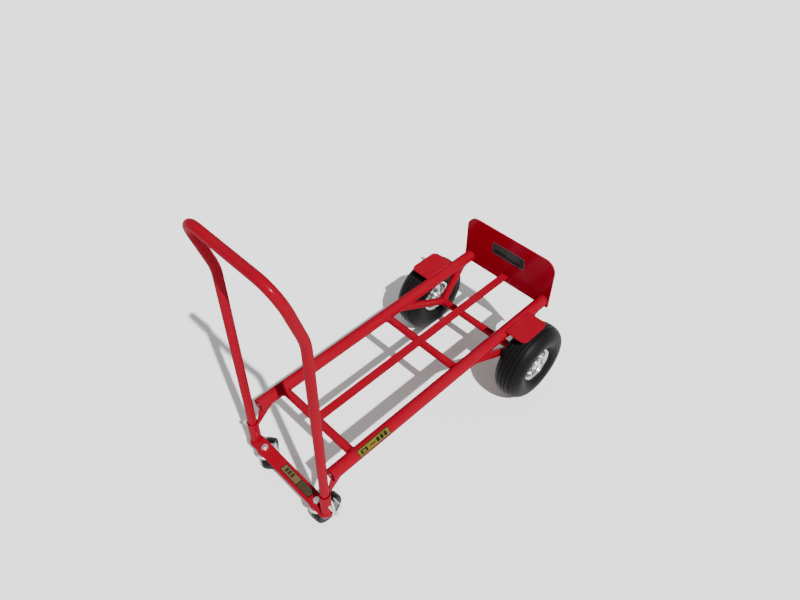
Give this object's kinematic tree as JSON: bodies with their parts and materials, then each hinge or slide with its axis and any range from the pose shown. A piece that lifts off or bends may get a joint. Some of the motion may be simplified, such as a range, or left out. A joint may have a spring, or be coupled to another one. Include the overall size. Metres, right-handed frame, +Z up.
{
  "type": "hand truck",
  "caption": "Convertible hand truck in its platform position: tube frame, toe plate, air-filled wheels, swivel casters and a lift-off loop handle.",
  "frame": {"origin": "on the floor, midway along the truck's length, between the two rails", "axes": "+X from the handle towards the toe plate, +Y to the left rail, +Z up"},
  "size_m": [0.988, 0.542, 0.9886],
  "materials": {
    "red_enamel": "gloss powder coat",
    "tyre_rubber": "matte moulded rubber",
    "tube_rubber": "matte",
    "caster_rubber": "matte",
    "valve_rubber": "matte",
    "hub_plastic": "moulded",
    "cap_plastic": "moulded",
    "sleeve_steel": "plain steel",
    "rim_zinc": "bright zinc plate",
    "hub_zinc": "bright zinc plate",
    "bearing_steel": "ground steel",
    "hardware_zinc": "zinc plate",
    "pin_zinc": "bright zinc plate",
    "label_grey": "printed vinyl",
    "label_tan": "printed vinyl",
    "label_yellow": "printed vinyl"
  },
  "bodies": {
    "frame": {"axle_cotter_pins": "hardware_zinc", "axle_rod": "hardware_zinc", "axle_spacers": "hardware_zinc", "axle_tube": "red_enamel", "caster_king_bolts": "hardware_zinc", "caster_king_nuts": "hardware_zinc", "caster_plate": "red_enamel", "caster_plate_label": "label_tan", "caster_races": "hardware_zinc", "cross_tubes": "red_enamel", "deck_strip": "red_enamel", "left_fender": "red_enamel", "left_front_strut": "red_enamel", "left_gusset": "red_enamel", "left_rail": "red_enamel", "left_rear_strut": "red_enamel", "left_socket": "red_enamel", "rail_label": "label_yellow", "rail_sleeves": "sleeve_steel", "right_fender": "red_enamel", "right_front_strut": "red_enamel", "right_gusset": "red_enamel", "right_rail": "red_enamel", "right_rear_strut": "red_enamel", "right_socket": "red_enamel", "toe_plate": "red_enamel", "toe_plate_label": "label_grey"},
    "handle": {"handle_loop": "red_enamel", "leg_end_caps": "cap_plastic", "lower_legs": "red_enamel"},
    "left_wheel": {"left_bearings": "bearing_steel", "left_hub": "hub_zinc", "left_inner_tube": "tube_rubber", "left_rim_bolts": "hardware_zinc", "left_rim_inner": "rim_zinc", "left_rim_outer": "rim_zinc", "left_tyre": "tyre_rubber", "left_valve_stem": "valve_rubber"},
    "left_caster_fork": {"left_caster_axle_bolt": "hardware_zinc", "left_caster_axle_nut": "hardware_zinc", "left_caster_fork": "hardware_zinc"},
    "left_caster_wheel": {"left_caster_hub": "hub_plastic", "left_caster_tyre": "caster_rubber"},
    "left_lock_pin": {"left_lock_pin": "pin_zinc"},
    "left_pin_bail": {"left_pin_bail": "pin_zinc"},
    "right_wheel": {"right_bearings": "bearing_steel", "right_hub": "hub_zinc", "right_inner_tube": "tube_rubber", "right_rim_bolts": "hardware_zinc", "right_rim_inner": "rim_zinc", "right_rim_outer": "rim_zinc", "right_tyre": "tyre_rubber", "right_valve_stem": "valve_rubber"},
    "right_caster_fork": {"right_caster_axle_bolt": "hardware_zinc", "right_caster_axle_nut": "hardware_zinc", "right_caster_fork": "hardware_zinc"},
    "right_caster_wheel": {"right_caster_hub": "hub_plastic", "right_caster_tyre": "caster_rubber"},
    "right_lock_pin": {"right_lock_pin": "pin_zinc"},
    "right_pin_bail": {"right_pin_bail": "pin_zinc"}
  },
  "joints": [
    {"name": "handle_lift", "type": "slide", "parent": "frame", "child": "handle", "axis": [0.0218, 0, 0.9998], "range_m": [0, 0.18]},
    {"name": "left_wheel_spin", "type": "hinge", "parent": "frame", "child": "left_wheel", "pos_m": [0.35898, 0.222, 0.135], "axis": [0, 1, 0], "continuous": true},
    {"name": "left_caster_swivel", "type": "hinge", "parent": "frame", "child": "left_caster_fork", "pos_m": [-0.45007, 0.1185, 0.1], "axis": [0, 0, 1], "continuous": true},
    {"name": "left_caster_roll", "type": "hinge", "parent": "left_caster_fork", "child": "left_caster_wheel", "pos_m": [-0.42781, 0.13785, 0.048], "axis": [-0.6561, 0.7547, 0], "continuous": true},
    {"name": "left_pin_slide", "type": "slide", "parent": "frame", "child": "left_lock_pin", "axis": [0, 1, 0], "range_m": [-0.022, 0]},
    {"name": "left_bail_swing", "type": "hinge", "parent": "left_lock_pin", "child": "left_pin_bail", "pos_m": [-0.44913, 0.2039, 0.166], "axis": [0, 0, 1], "range_deg": [0, 90]},
    {"name": "right_wheel_spin", "type": "hinge", "parent": "frame", "child": "right_wheel", "pos_m": [0.35898, -0.222, 0.135], "axis": [0, 1, 0], "continuous": true},
    {"name": "right_caster_swivel", "type": "hinge", "parent": "frame", "child": "right_caster_fork", "pos_m": [-0.45007, -0.1185, 0.1], "axis": [0, 0, 1], "continuous": true},
    {"name": "right_caster_roll", "type": "hinge", "parent": "right_caster_fork", "child": "right_caster_wheel", "pos_m": [-0.42064, -0.11644, 0.048], "axis": [-0.0698, 0.9976, 0], "continuous": true},
    {"name": "right_pin_slide", "type": "slide", "parent": "frame", "child": "right_lock_pin", "axis": [0, -1, 0], "range_m": [-0.022, 0]},
    {"name": "right_bail_swing", "type": "hinge", "parent": "right_lock_pin", "child": "right_pin_bail", "pos_m": [-0.44913, -0.2039, 0.166], "axis": [0, 0, -1], "range_deg": [0, 90]}
  ]
}
